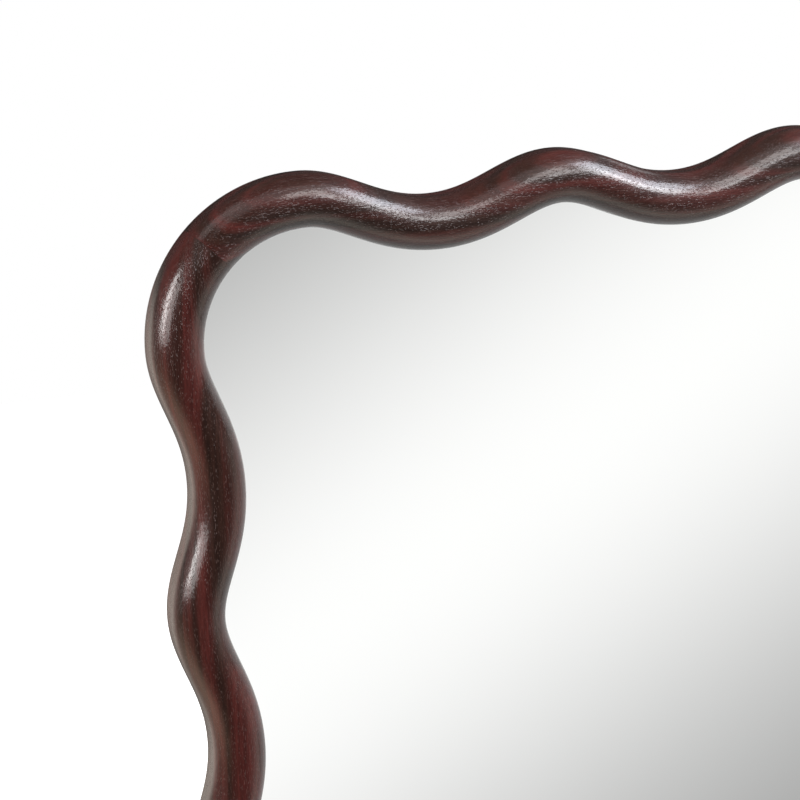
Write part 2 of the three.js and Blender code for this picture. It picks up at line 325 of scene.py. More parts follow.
def lathe(name, profile, steps):
    """A turned solid about Y from (radius, y) points, the first and the last of them on the axis."""
    vertices = []
    rings = []
    for radius, y in profile:
        count = steps if radius else 1
        rings.append(range(len(vertices), len(vertices) + count))
        angles = [2 * math.pi * i / count for i in range(count)]
        vertices += [(radius * math.sin(a), y, radius * math.cos(a)) for a in angles]
    faces = []
    for first, second in zip(rings, rings[1:]):
        for i in range(steps):
            j = (i + 1) % steps
            corners = [first[i % len(first)], first[j % len(first)]]
            corners += [second[j % len(second)], second[i % len(second)]]
            faces.append(list(dict.fromkeys(corners)))
    return facing_outwards(mesh_from(name, vertices, faces))


def box_mesh(name, low, high):
    (x0, y0, z0), (x1, y1, z1) = low, high
    vertices = [(x, y, z) for x in (x0, x1) for y in (y0, y1) for z in (z0, z1)]
    faces = [[0, 1, 3, 2], [4, 6, 7, 5], [0, 4, 5, 1], [2, 3, 7, 6], [0, 2, 6, 4], [1, 5, 7, 3]]
    return mesh_from(name, vertices, faces)


def prism_mesh(name, outline, low, high, axis):
    """A solid between two parallel copies of an outline, given as points with the axis left out."""
    def point(pair, height):
        values = list(pair)
        values.insert(axis, height)
        return values
    count = len(outline)
    vertices = [point(p, low) for p in outline] + [point(p, high) for p in outline]
    faces = [list(range(count))[::-1], list(range(count, 2 * count))]
    faces += [[i, (i + 1) % count, count + (i + 1) % count, count + i] for i in range(count)]
    return facing_outwards(mesh_from(name, vertices, faces))


def combined(name, base, others, operation="DIFFERENCE"):
    """The base mesh cut by, or cut down to, the other meshes."""
    obj = add_object(name, base)
    tools = [add_object(f"{name}_tool", other) for other in others]
    for tool in tools:
        modifier = obj.modifiers.new("cut", "BOOLEAN")
        modifier.operation = operation
        modifier.solver = "EXACT"
        modifier.object = tool
    return applied(obj, tools)


def applied(obj, helpers=()):
    """An object's mesh with its modifiers applied. The object and its helpers are removed."""
    graph = bpy.context.evaluated_depsgraph_get()
    mesh = bpy.data.meshes.new_from_object(obj.evaluated_get(graph))
    for used in [obj, *helpers]:
        bpy.data.objects.remove(used)
    return mesh


def bevelled(mesh, width):
    """A copy of a mesh with its sharp edges bevelled."""
    obj = add_object("bevelled", mesh)
    modifier = obj.modifiers.new("bevel", "BEVEL")
    modifier.width = width
    modifier.segments = BEVEL_STEPS
    modifier.limit_method = "ANGLE"
    modifier.angle_limit = math.radians(BEVEL_ANGLE)
    return applied(obj)


def thread_radius(turns):
    """Radius of the thread at a number of turns along it: a sharp ridge between wide flats."""
    ridge = max(0, 1 - abs(turns % 1 - 0.5) / THREAD_RIDGE)
    return (CORE_DIAMETER + (THREAD_DIAMETER - CORE_DIAMETER) * ridge) / 2


def add_thread(mesh):
    """Adds the shank below the head to a bmesh: plain, then threaded, then pointed."""
    threaded = SCREW_LENGTH - PLAIN_SHANK
    steps = round(threaded / THREAD_PITCH * THREAD_STEPS)
    rows = [(0, None), (-PLAIN_SHANK, None)]
    rows += [(-PLAIN_SHANK - threaded * i / steps, i / THREAD_STEPS) for i in range(1, steps)]
    rings = []
    for y, turns in rows:
        ring = []
        for i in range(SHANK_STEPS):
            share = i / SHANK_STEPS
            radius = CORE_DIAMETER / 2 if turns is None else thread_radius(turns + share)
            radius *= min(1, (SCREW_LENGTH + y) / SCREW_TIP)
            angle = 2 * math.pi * share
            ring.append(mesh.verts.new((radius * math.sin(angle), y, radius * math.cos(angle))))
        rings.append(ring)
    for first, second in zip(rings, rings[1:]):
        for i in range(len(first)):
            j = (i + 1) % len(first)
            mesh.faces.new([first[i], second[i], second[j], first[j]])
    point = mesh.verts.new((0, -SCREW_LENGTH, 0))
    for i in range(len(rings[-1])):
        mesh.faces.new([rings[-1][i], point, rings[-1][(i + 1) % len(rings[-1])]])
    mesh.faces.new(rings[0])


def screw_mesh():
    """A pan-head screw with a cross recess, its axis along Y and the underside of its head at Y = 0."""
    radius = HEAD_DIAMETER / 2
    dome = HEAD_THICKNESS - HEAD_SKIRT
    profile = [(0, 0), (radius, 0), (radius, HEAD_SKIRT)]
    for i in range(1, DOME_STEPS):
        angle = math.pi / 2 * i / DOME_STEPS
        profile.append((radius * math.cos(angle), HEAD_SKIRT + dome * math.sin(angle)))
    profile.append((0, HEAD_THICKNESS))
    half, thin = RECESS_SPAN / 2, RECESS_WIDTH / 2
    low, high = HEAD_THICKNESS - RECESS_DEPTH, HEAD_THICKNESS + RECESS_DEPTH
    slots = [
        box_mesh("slot", (-half, low, -thin), (half, high, thin)),
        box_mesh("slot", (-thin, low, -half), (thin, high, half)),
    ]
    blank = bevelled(lathe("screw_head", profile, ROUND_STEPS), HEAD_BEVEL)
    head = combined("screw_head", blank, slots)
    mesh = bmesh.new()
    mesh.from_mesh(head)
    add_thread(mesh)
    mesh.to_mesh(head)
    mesh.free()
    shade_smooth(head)
    return head


def strap_mesh(length):
    """The folded strap, its barrel about the origin and its length along -Z, its back towards -Y."""
    barrel = WIRE_DIAMETER / 2 + SEAT_GAP + SHEET_THICKNESS
    seat = -(WIRE_DIAMETER / 2 + SEAT_GAP + 2 * SHEET_THICKNESS)
    face = seat + 2 * SHEET_THICKNESS
    shoulder = 2 * math.pi + math.atan2(face, -math.sqrt(barrel**2 - face**2))
    outer = [(seat, -length), (seat, -SHEET_THICKNESS)]
    for i in range(ROUND_STEPS + 1):
        angle = FOLD_START + (shoulder - FOLD_START) * i / ROUND_STEPS
        outer.append((barrel * math.sin(angle), barrel * math.cos(angle)))
    middle = (seat + face) / 2
    gap = STRAP_SEAM / 2
    seam_top = -barrel - SHEET_THICKNESS
    outer += [(face, -length), (middle + gap, -length), (middle + gap, seam_top)]
    outer += [(middle - gap, seam_top), (middle - gap, -length)]
    folded = prism_mesh("folded", outer, -STRAP_WIDTH, STRAP_WIDTH, 0)
    eye = WIRE_DIAMETER / 2 + SEAT_GAP
    angles = [2 * math.pi * i / ROUND_STEPS for i in range(ROUND_STEPS)]
    circle = [(eye * math.sin(a), eye * math.cos(a)) for a in angles]
    bore = prism_mesh("bore", circle, -length, length, 0)
    half = STRAP_WIDTH / 2
    plan = [(-half, 2 * barrel), (half, 2 * barrel)]
    for i in range(ROUND_STEPS + 1):
        angle = math.pi * i / ROUND_STEPS
        plan.append((half * math.cos(angle), half - length - half * math.sin(angle)))
    block = prism_mesh("plan", plan, -length, length, 1)
    strap = combined("strap", combined("strap", folded, [block], "INTERSECT"), [bore])
    strap = bevelled(strap, STRAP_BEVEL)
    shade_smooth(strap)
    return strap


def wire_line(width, drop):
    """Points of the ring's wire as (x, z), from one butt end round to the other."""
    half = width / 2
    corners = [
        (half - RING_BEND, -RING_BEND, RING_BEND, 90, 0),
        (0, half - drop, half, 0, -180),
        (RING_BEND - half, -RING_BEND, RING_BEND, 180, 90),
    ]
    points = [(RING_BUTT_GAP / 2, 0)]
    for x, z, radius, start, end in corners:
        steps = round(radius * math.radians(abs(end - start)) / WIRE_STEP)
        for i in range(steps + 1):
            angle = math.radians(start + (end - start) * i / steps)
            points.append((x + radius * math.cos(angle), z + radius * math.sin(angle)))
    return points + [(-RING_BUTT_GAP / 2, 0)]


def ring_mesh(width, drop):
    """The hanging ring, its round wire swept along its line and its hinge along X at the origin."""
    line = wire_line(width, drop)
    radius = WIRE_DIAMETER / 2
    vertices = []
    for i, (x, z) in enumerate(line):
        before, after = line[max(i - 1, 0)], line[min(i + 1, len(line) - 1)]
        direction = Vector((after[0] - before[0], after[1] - before[1])).normalized()
        for k in range(WIRE_SIDES):
            angle = 2 * math.pi * k / WIRE_SIDES
            side = radius * math.cos(angle)
            y = radius * math.sin(angle)
            vertices.append((x - direction.y * side, y, z + direction.x * side))
    rows = len(line)
    faces = [list(range(WIRE_SIDES))[::-1], [(rows - 1) * WIRE_SIDES + k for k in range(WIRE_SIDES)]]
    for row in range(rows - 1):
        for k in range(WIRE_SIDES):
            a = row * WIRE_SIDES + k
            b = row * WIRE_SIDES + (k + 1) % WIRE_SIDES
            faces.append([a, b, b + WIRE_SIDES, a + WIRE_SIDES])
    mesh = facing_outwards(mesh_from("ring", vertices, faces))
    shade_smooth(mesh)
    return mesh


def bumper_mesh(radius, thickness):
    """A tapered rubber foot with its base at Y = 0 and a soft edge round its face."""
    edge = BUMPER_EDGE_RADIUS
    bevel = BUMPER_BASE_BEVEL
    face = BUMPER_FACE_DIAMETER / 2
    centre = face - edge / 2
    profile = [(0, 0), (radius - bevel, 0), (radius, bevel), (radius, BUMPER_SKIRT)]
    slope = math.atan2(radius - face, thickness - BUMPER_SKIRT)
    for i in range(BUMPER_EDGE_STEPS + 1):
        angle = slope + (math.pi / 2 - slope) * i / BUMPER_EDGE_STEPS
        profile.append((centre + edge * math.cos(angle), thickness - edge + edge * math.sin(angle)))
    profile.append((0, thickness))
    mesh = lathe("bumper", profile, BUMPER_STEPS)
    shade_smooth(mesh)
    return mesh


def placed(mesh, location, angle=0.0):
    """A copy of a mesh turned about Y and moved, so that its object can stay at the origin."""
    copy = mesh.copy()
    copy.transform(Matrix.Translation(location) @ Matrix.Rotation(angle, 4, "Y"))
    return copy


# ---- Camera, light and floor ----

SENSOR_WIDTH = 36
PHOTO_FOCAL_LENGTH = 106.77  # in the same unit as the sensor
CAMERA_LEFT = 0.2760  # radians to the left of square on
CAMERA_ABOVE = 0.2084
CAMERA_ROLL = -0.0608
CAMERA_DISTANCE = 1315.93 * MM
CAMERA_TARGET = Vector((-163.645 * MM, 0, 8.475 * MM))


def camera_axes():
    """The camera's right, up and backward directions in the shared frame."""
    sin_left, cos_left = math.sin(CAMERA_LEFT), math.cos(CAMERA_LEFT)
    sin_above, cos_above = math.sin(CAMERA_ABOVE), math.cos(CAMERA_ABOVE)
    backward = Vector((-sin_left * cos_above, -cos_left * cos_above, sin_above))
    right = Vector((cos_left, -sin_left, 0))
    up = backward.cross(right)
    cos_roll, sin_roll = math.cos(CAMERA_ROLL), math.sin(CAMERA_ROLL)
    return right * cos_roll + up * sin_roll, up * cos_roll - right * sin_roll, backward


def add_camera():
    camera = bpy.data.cameras.new("camera")
    camera.sensor_width = SENSOR_WIDTH
    camera.lens = PHOTO_FOCAL_LENGTH
    camera.clip_start = 0.05
    camera.clip_end = 50
    obj = bpy.data.objects.new("camera", camera)
    bpy.context.scene.collection.objects.link(obj)
    axes = camera_axes()
    place = Matrix.Translation(CAMERA_TARGET + axes[2] * CAMERA_DISTANCE)
    obj.matrix_world = place @ Matrix(axes).transposed().to_4x4()
    bpy.context.scene.camera = obj


# ---- Shader helpers ----


def new_material(name):
    """A material with an empty Principled surface, and its node tree."""
    material = bpy.data.materials.new(name)
    material.use_nodes = True
    tree = material.node_tree
    tree.nodes.clear()
    surface = tree.nodes.new("ShaderNodeBsdfPrincipled")
    output = tree.nodes.new("ShaderNodeOutputMaterial")
    tree.links.new(surface.outputs[0], output.inputs["Surface"])
    return material, tree, surface


def feed(tree, socket, value):
    """Sets a socket to a plain value, or links it to another node's output."""
    if isinstance(value, bpy.types.NodeSocket):
        tree.links.new(value, socket)
    else:
        socket.default_value = value


def maths(tree, operation, *values):
    node = tree.nodes.new("ShaderNodeMath")
    node.operation = operation
    for socket, value in zip(node.inputs, values):
        feed(tree, socket, value)
    return node.outputs[0]


def vector_maths(tree, operation, *values):
    node = tree.nodes.new("ShaderNodeVectorMath")
    node.operation = operation
    for socket, value in zip(node.inputs, values):
        feed(tree, socket, value)
    return node.outputs["Value" if operation == "DOT_PRODUCT" else "Vector"]


def remap(tree, value, low, high, to_low=0.0, to_high=1.0, smooth=True):
    node = tree.nodes.new("ShaderNodeMapRange")
    node.interpolation_type = "SMOOTHSTEP" if smooth else "LINEAR"
    for name, number in zip(("From Min", "From Max", "To Min", "To Max"), (low, high, to_low, to_high)):
        node.inputs[name].default_value = number
    feed(tree, node.inputs["Value"], value)
    return node.outputs["Result"]


def mix_colours(tree, share, first, second, blend="MIX"):
    node = tree.nodes.new("ShaderNodeMix")
    node.data_type = "RGBA"
    node.blend_type = blend
    node.clamp_factor = True
    feed(tree, node.inputs["Factor"], share)
    feed(tree, node.inputs["A"], first)
    feed(tree, node.inputs["B"], second)
    return node.outputs["Result"]


def noise(tree, place, detail, roughness=0.5):
    node = tree.nodes.new("ShaderNodeTexNoise")
    node.inputs["Scale"].default_value = 1.0
    node.inputs["Detail"].default_value = detail
    node.inputs["Roughness"].default_value = roughness
    feed(tree, node.inputs["Vector"], place)
    return node.outputs["Fac"]


def bump(tree, height, depth):
    node = tree.nodes.new("ShaderNodeBump")
    node.inputs["Strength"].default_value = 1.0
    node.inputs["Distance"].default_value = depth
    feed(tree, node.inputs["Height"], height)
    return node.outputs["Normal"]


def grain_place(tree, turned, offset):
    """The place in the wood, in metres, as X along the grain, Y across the growth rings, Z along them."""
    coordinates = tree.nodes.new("ShaderNodeTexCoord")
    apart = tree.nodes.new("ShaderNodeSeparateXYZ")
    tree.links.new(coordinates.outputs["Object"], apart.inputs[0])
    together = tree.nodes.new("ShaderNodeCombineXYZ")
    order = ("Z", "X", "Y") if turned else ("X", "Z", "Y")
    for axis, source in enumerate(order):
        tree.links.new(apart.outputs[source], together.inputs[axis])
    moved = vector_maths(tree, "ADD", together.outputs[0], offset)
    turn = tree.nodes.new("ShaderNodeVectorRotate")
    turn.rotation_type = "X_AXIS"
    turn.inputs["Angle"].default_value = RING_TILT
    tree.links.new(moved, turn.inputs["Vector"])
    return turn.outputs[0]


def stretched(tree, place, along, across, deep=None):
    """The place scaled for features of these sizes along the grain, across the rings and along them."""
    return vector_maths(tree, "MULTIPLY", place, (1 / along, 1 / across, 1 / (deep or across)))


def flecks(tree, place, low, high):
    """Separate small spots, 1 inside and 0 outside, in a place already stretched."""
    node = tree.nodes.new("ShaderNodeTexVoronoi")
    node.inputs["Scale"].default_value = 1.0
    feed(tree, node.inputs["Vector"], place)
    return remap(tree, node.outputs["Distance"], high, low)


# ---- Materials ----

RING_TILT = math.radians(35)  # of the growth rings to the face of a rail

# Sizes of the wood's features, along the grain, across the growth rings and along them.
WOOD_WANDER = (90 * MM, 25 * MM)
WOOD_RINGS = (220 * MM, 7 * MM, 40 * MM)
WOOD_BANDS = (160 * MM, 2.2 * MM, 25 * MM)
WOOD_FIBRES = (12 * MM, 0.8 * MM)
LONG_PORES = (6 * MM, 0.75 * MM)
SHORT_PORES = (2.6 * MM, 0.6 * MM)
LACQUER_GRAIN = (2.2 * MM, 0.75 * MM)

WANDER_REACH = 7 * MM  # how far the grain strays to the side
WOOD_RELIEF = 0.1 * MM
LACQUER_RELIEF = 0.09 * MM
LACQUER_ROUGHNESS = 0.11
LACQUERED_ROUGHNESS = (0.36, 0.46)  # of the wood itself, under the lacquer
BARE_ROUGHNESS = (0.6, 0.75)
WOOD_RED = (0.074, 0.0155, 0.0125, 1)
WOOD_DARK = (0.028, 0.011, 0.0075, 1)
# The pores' colour: lighter filler, made lighter still as a painted glint of the pore edges catching
# light.
PORE_FILLER_AND_GLINT = (0.36, 0.22, 0.2, 1)
PORE_FILLER_AND_GLINT_SHARE = 0.16  # of the pore colour in a pore

GLASS_TINTS = ((0.965, 0.97, 0.96, 1), (0.975, 0.98, 0.97, 1))
PAINT_TINTS = ((0.16, 0.19, 0.18, 1), (0.24, 0.27, 0.26, 1))
STEEL_TINTS = ((0.6, 0.64, 0.7, 1), (0.74, 0.72, 0.66, 1))
BOARD_TINTS = ((0.15, 0.078, 0.038, 1), (0.3, 0.175, 0.095, 1))
BOARD_CHIP = (0.07, 0.035, 0.018, 1)
CHIP_SHARE = 0.35
RUBBER_TINTS = ((0.014, 0.014, 0.015, 1), (0.034, 0.034, 0.036, 1))
BEECH_TINTS = ((0.62, 0.43, 0.26, 1), (0.5, 0.32, 0.18, 1))
BEECH_RAY = (0.36, 0.2, 0.1, 1)


def grey(tree, value):
    """A grey, its three channels all one value."""
    node = tree.nodes.new("ShaderNodeCombineColor")
    for channel in node.inputs:
        tree.links.new(value, channel)
    return node.outputs[0]


def stained_wood(name, turned, offset, lacquered):
    """Dark stained, open-pored hardwood, bare or under a semi-gloss lacquer."""
    material, tree, surface = new_material(name)
    place = grain_place(tree, turned, offset)
    wander = noise(tree, stretched(tree, place, *WOOD_WANDER), detail=1)
    shift = maths(tree, "MULTIPLY", maths(tree, "SUBTRACT", wander, 0.5), WANDER_REACH)
    lift = tree.nodes.new("ShaderNodeCombineXYZ")
    tree.links.new(shift, lift.inputs["Y"])
    wavy = vector_maths(tree, "ADD", place, lift.outputs[0])

    rings = noise(tree, stretched(tree, wavy, *WOOD_RINGS), detail=1)
    bands = noise(tree, stretched(tree, wavy, *WOOD_BANDS), detail=1)
    fibres = noise(tree, stretched(tree, wavy, *WOOD_FIBRES), detail=2, roughness=0.6)
    stripe = remap(tree, rings, 0.32, 0.66)
    streak = remap(tree, fibres, 0.3, 0.7)
    long_pores = flecks(tree, stretched(tree, wavy, *LONG_PORES), 0.13, 0.26)
    short_pores = flecks(tree, stretched(tree, wavy, *SHORT_PORES), 0.15, 0.28)
    dense = remap(tree, bands, 0.36, 0.6, 0.35, 1.0)
    pore = maths(tree, "MULTIPLY", maths(tree, "MAXIMUM", long_pores, short_pores), dense)

    colour = mix_colours(tree, stripe, WOOD_RED, WOOD_DARK)
    shade = remap(tree, streak, 0, 1, 0.8, 1.2, smooth=False)
    shade = maths(tree, "MULTIPLY", shade, remap(tree, bands, 0.35, 0.65, 1.14, 0.86))
    colour = mix_colours(tree, 1.0, colour, grey(tree, shade), "MULTIPLY")
    # Lightens the pores: lighter filler, plus a painted glint of their edges.
    colour = mix_colours(tree, maths(tree, "MULTIPLY", pore, PORE_FILLER_AND_GLINT_SHARE), colour, PORE_FILLER_AND_GLINT)
    feed(tree, surface.inputs["Base Color"], colour)

    relief = maths(tree, "SUBTRACT", maths(tree, "MULTIPLY", fibres, 0.6), pore)
    feed(tree, surface.inputs["Normal"], bump(tree, relief, WOOD_RELIEF))
    roughness = LACQUERED_ROUGHNESS if lacquered else BARE_ROUGHNESS
    feed(tree, surface.inputs["Roughness"], remap(tree, streak, 0, 1, *roughness, smooth=False))
    if lacquered:
        add_lacquer(tree, surface, turned, wavy, relief)
    return material


def add_lacquer(tree, surface, turned, wavy, relief):
    """A semi-gloss coat that follows the wood's relief, over fibres that stretch the highlight."""
    surface.inputs["Specular IOR Level"].default_value = 0.2
    surface.inputs["Anisotropic"].default_value = 0.75
    surface.inputs["Anisotropic Rotation"].default_value = 0.25
    grain = tree.nodes.new("ShaderNodeCombineXYZ")
    grain.inputs["Z" if turned else "X"].default_value = 1
    tree.links.new(grain.outputs[0], surface.inputs["Tangent"])
    surface.inputs["Coat Weight"].default_value = 1.0
    surface.inputs["Coat Roughness"].default_value = LACQUER_ROUGHNESS
    grit = noise(tree, stretched(tree, wavy, *LACQUER_GRAIN), detail=1)
    skin = maths(tree, "ADD", relief, grit)
    feed(tree, surface.inputs["Coat Normal"], bump(tree, skin, LACQUER_RELIEF))


def object_place(tree):
    """The place on a piece, in metres along its object's own axes."""
    return tree.nodes.new("ShaderNodeTexCoord").outputs["Object"]


def silvered_glass():
    """The front of the plate: a clean mirror whose silvering is faintly cloudy."""
    material, tree, surface = new_material("silvered_glass")
    clouds = noise(tree, stretched(tree, object_place(tree), 70 * MM, 70 * MM), detail=3)
    feed(tree, surface.inputs["Base Color"], mix_colours(tree, clouds, *GLASS_TINTS))
    surface.inputs["Metallic"].default_value = 1
    surface.inputs["Roughness"].default_value = 0
    return material


def backing_paint():
    """The grey protective paint on the back and the edge of the mirror plate."""
    material, tree, surface = new_material("backing_paint")
    spots = noise(tree, stretched(tree, object_place(tree), 1.5 * MM, 1.5 * MM), detail=3)
    feed(tree, surface.inputs["Base Color"], mix_colours(tree, spots, *PAINT_TINTS))
    surface.inputs["Roughness"].default_value = 0.5
    feed(tree, surface.inputs["Normal"], bump(tree, spots, 0.03 * MM))
    return material


def steel():
    """Bright zinc plate: faint clouds in the passivation and fine rolling marks."""
    material, tree, surface = new_material("zinc_steel")
    place = object_place(tree)
    clouds = noise(tree, stretched(tree, place, 3 * MM, 3 * MM), detail=2)
    marks = noise(tree, stretched(tree, place, 2.5 * MM, 0.12 * MM, 2.5 * MM), detail=2)
    tint = mix_colours(tree, remap(tree, clouds, 0.3, 0.7), *STEEL_TINTS)
    feed(tree, surface.inputs["Base Color"], tint)
    surface.inputs["Metallic"].default_value = 1
    wear = maths(tree, "ADD", maths(tree, "MULTIPLY", clouds, 0.5), maths(tree, "MULTIPLY", marks, 0.5))
    feed(tree, surface.inputs["Roughness"], remap(tree, wear, 0.3, 0.7, 0.24, 0.42))
    feed(tree, surface.inputs["Normal"], bump(tree, marks, 0.012 * MM))
    return material


def hardboard():
    """Pressed fibre: dark and light specks, broad clouds, and a fine relief."""
    material, tree, surface = new_material("hardboard")
    place = object_place(tree)
    clouds = noise(tree, stretched(tree, place, 45 * MM, 45 * MM), detail=3)
    specks = noise(tree, stretched(tree, place, 1.6 * MM, 0.9 * MM, 1.1 * MM), detail=3, roughness=0.65)
    chips = flecks(tree, stretched(tree, place, 5 * MM, 3 * MM, 2.2 * MM), 0.12, 0.3)
    colour = mix_colours(tree, remap(tree, specks, 0.32, 0.68), *BOARD_TINTS)
    shade = remap(tree, clouds, 0.2, 0.8, 0.95, 1.05)
    colour = mix_colours(tree, 1.0, colour, grey(tree, shade), "MULTIPLY")
    colour = mix_colours(tree, maths(tree, "MULTIPLY", chips, CHIP_SHARE), colour, BOARD_CHIP)
    feed(tree, surface.inputs["Base Color"], colour)
    feed(tree, surface.inputs["Roughness"], remap(tree, specks, 0.3, 0.7, 0.62, 0.85))
    feed(tree, surface.inputs["Normal"], bump(tree, specks, 0.12 * MM))
    return material


def rubber():
    """Black rubber with a dull, finely pitted skin."""
    material, tree, surface = new_material("rubber")
    grit = noise(tree, stretched(tree, object_place(tree), 0.35 * MM, 0.35 * MM), detail=3)
    feed(tree, surface.inputs["Base Color"], mix_colours(tree, grit, *RUBBER_TINTS))
    feed(tree, surface.inputs["Roughness"], remap(tree, grit, 0.3, 0.7, 0.5, 0.7))
    feed(tree, surface.inputs["Normal"], bump(tree, grit, 0.03 * MM))
    return material


def beech():
    """Pale wood with short dark ray flecks."""
    material, tree, surface = new_material("beech")
    place = object_place(tree)
    grain = noise(tree, stretched(tree, place, 1.2 * MM, 1.2 * MM), detail=3)
    rays = flecks(tree, stretched(tree, place, 2 * MM, 1 * MM), 0.12, 0.26)
    colour = mix_colours(tree, remap(tree, grain, 0.3, 0.7), *BEECH_TINTS)
    feed(tree, surface.inputs["Base Color"], mix_colours(tree, rays, colour, BEECH_RAY))
    surface.inputs["Roughness"].default_value = 0.65
    feed(tree, surface.inputs["Normal"], bump(tree, grain, 0.05 * MM))
    return material


# ---- World, lights, floor ----

# The bright band that slants across the mirror in the photo.
BAND_SLOPE = (0.6, -0.8)  # the direction straight across it, rightwards and upwards
BAND_MIDDLE = 0.059  # tangent of the angle from the camera's axis, like the width
BAND_WIDTH = 0.1445
BAND_BASE = 0.28  # the brightness far from the band
BAND_TOP = 0.745  # what the middle of the band adds
BAND_REACH = (0.915, 0.968)  # cosines of the angles at which the band starts and is whole
BAND_LEAST_COSINE = 0.05  # keeps the tangent finite behind the camera

STUDIO_LEVELS = (0.6, 0.9)  # what the mirror sees outside the band, low and high up
STUDIO_HEIGHT = 0.9  # the upward share of a direction at which those levels are reached
FLOOR_LEVEL = 0.06
ROOM_LEVEL = 0.03
HORIZON_BLUR = 0.02

# Bright patches of the floor: direction, how tightly it is gathered, colour times brightness.
FLOOR_PATCHES = [
    ((0.1, -0.16, -0.98), 12, (1.15, 1.1, 0.98)),
    ((0.65, -0.2, -0.73), 12, (0.3, 0.28, 0.25)),
    ((0.95, -0.12, -0.33), 8, (0.75, 0.7, 0.64)),
    ((-0.72, 0.06, -0.69), 9, (1.3, 0.9, 0.66)),
    ((-0.45, 0.85, -0.25), 14, (0.9, 0.78, 0.68)),
    ((0.42, 0.33, -0.85), 5, (0.36, 0.32, 0.27)),
]


def mirrored(direction):
    """A direction as the mirror sends it on."""
    return Vector((direction.x, -direction.y, direction.z))


def diagonal_band(tree, direction):
    """What the mirror shows to the photo's camera, and how much a direction belongs to that view."""
    right, up, backward = camera_axes()
    slope = mirrored(right * BAND_SLOPE[0] + up * BAND_SLOPE[1])
    ahead = mirrored(-backward)
    distance = vector_maths(tree, "DOT_PRODUCT", direction, tuple(ahead))
    across = vector_maths(tree, "DOT_PRODUCT", direction, tuple(slope))
    place = maths(tree, "DIVIDE", across, maths(tree, "MAXIMUM", distance, BAND_LEAST_COSINE))
    scaled = maths(tree, "DIVIDE", maths(tree, "SUBTRACT", place, BAND_MIDDLE), BAND_WIDTH)
    square = maths(tree, "MULTIPLY", scaled, scaled)
    bell = maths(tree, "EXPONENT", maths(tree, "MULTIPLY", square, -1.0))
    level = maths(tree, "ADD", maths(tree, "MULTIPLY", bell, BAND_TOP), BAND_BASE)
    return level, remap(tree, distance, *BAND_REACH)


def room(tree, direction, height):
    """What everything but the mirror reflects: a lit floor and a dark room above it."""
    colour = (FLOOR_LEVEL, FLOOR_LEVEL, FLOOR_LEVEL, 1)
    for middle, tightness, light in FLOOR_PATCHES:
        toward = Vector(middle).normalized()
        cosine = vector_maths(tree, "DOT_PRODUCT", direction, tuple(toward))
        near = maths(tree, "POWER", maths(tree, "MAXIMUM", cosine, 0.0), tightness)
        colour = mix_colours(tree, near, colour, (*light, 1), "ADD")
    above = remap(tree, height, -HORIZON_BLUR, HORIZON_BLUR)
    return mix_colours(tree, above, colour, (ROOM_LEVEL, ROOM_LEVEL, ROOM_LEVEL, 1))


def add_world():
    """White to the camera, a pale studio to the mirror and a dim room to everything else."""
    world = bpy.data.worlds.new("studio")
    bpy.context.scene.world = world
    world.use_nodes = True
    tree = world.node_tree
    tree.nodes.clear()
    direction = tree.nodes.new("ShaderNodeTexCoord").outputs["Generated"]
    apart = tree.nodes.new("ShaderNodeSeparateXYZ")
    tree.links.new(direction, apart.inputs[0])
    height = apart.outputs["Z"]
    band, seen = diagonal_band(tree, direction)
    studio = remap(tree, height, -STUDIO_HEIGHT, STUDIO_HEIGHT, *STUDIO_LEVELS, smooth=False)
    pale = mix_colours(tree, seen, grey(tree, studio), grey(tree, band))
    rays = tree.nodes.new("ShaderNodeLightPath")
    colour = mix_colours(tree, rays.outputs["Is Singular Ray"], room(tree, direction, height), pale)
    colour = mix_colours(tree, rays.outputs["Is Camera Ray"], colour, (1, 1, 1, 1))
    background = tree.nodes.new("ShaderNodeBackground")
    tree.links.new(colour, background.inputs["Color"])
    output = tree.nodes.new("ShaderNodeOutputWorld")
    tree.links.new(background.outputs[0], output.inputs["Surface"])


LIT_POINT = Vector((-200 * MM, -30 * MM, 50 * MM))  # on the corner that the photo shows


def add_softbox(name, direction, distance, width, height, radiance, colour):
    """An area light in a direction from the lit corner, of a given brightness to look at."""
    light = bpy.data.lights.new(name, "AREA")
    light.shape = "RECTANGLE"
    light.size = width
    light.size_y = height
    light.energy = radiance * math.pi * width * height
    light.color = colour
    obj = bpy.data.objects.new(name, light)
    bpy.context.scene.collection.objects.link(obj)
    away = Vector(direction).normalized()
    turn = away.to_track_quat("Z", "Y").to_matrix().to_4x4()
    obj.matrix_world = Matrix.Translation(LIT_POINT + away * distance) @ turn
    obj.visible_camera = False
    return obj


SOFTBOXES = [
    # name, direction, distance, width, height, radiance, colour
    ("key_left", (-0.955, -0.07, 0.28), 1.6, 0.42, 0.8, 10, (1, 0.98, 0.97)),
    ("key_wide", (-0.93, -0.24, 0.17), 1.6, 1.2, 0.75, 4.2, (1, 0.96, 0.94)),
    ("strip_right", (0.72, -0.38, 0.62), 1.8, 0.8, 1.2, 9.5, (0.88, 0.91, 1)),
    ("strip_middle", (0.61, -0.6, 0.51), 1.8, 0.5, 0.6, 13, (0.97, 0.97, 1)),
    ("strip_front", (0.36, -0.82, 0.45), 1.8, 0.4, 0.4, 9, (1, 0.98, 0.98)),
    ("front", (0.22, -0.67, 0.71), 1.8, 0.6, 0.6, 6, (1, 0.95, 0.94)),
    ("high_right", (0.45, -0.35, 0.85), 1.6, 0.7, 0.7, 0.9, (1, 0.96, 0.96)),
    ("high_left", (-0.5, 0.05, 0.86), 1.6, 0.7, 0.7, 1.1, (1, 0.93, 0.92)),
    ("behind_right", (0.78, 0.46, 0.45), 1.6, 0.6, 0.5, 1.3, (0.95, 0.97, 1)),
    ("overhead", (-0.15, -0.38, 0.91), 1.4, 1, 1, 0.8, (1, 0.94, 0.94)),
]
REAR_BOX = ("rear", (0.15, 0.85, 0.5), 2.2, 1.8, 1.4, 4.5, (1, 0.99, 0.97))


def add_lights():
    for box in SOFTBOXES:
        add_softbox(*box)
    rear = add_softbox(*REAR_BOX)
    rear.visible_glossy = False


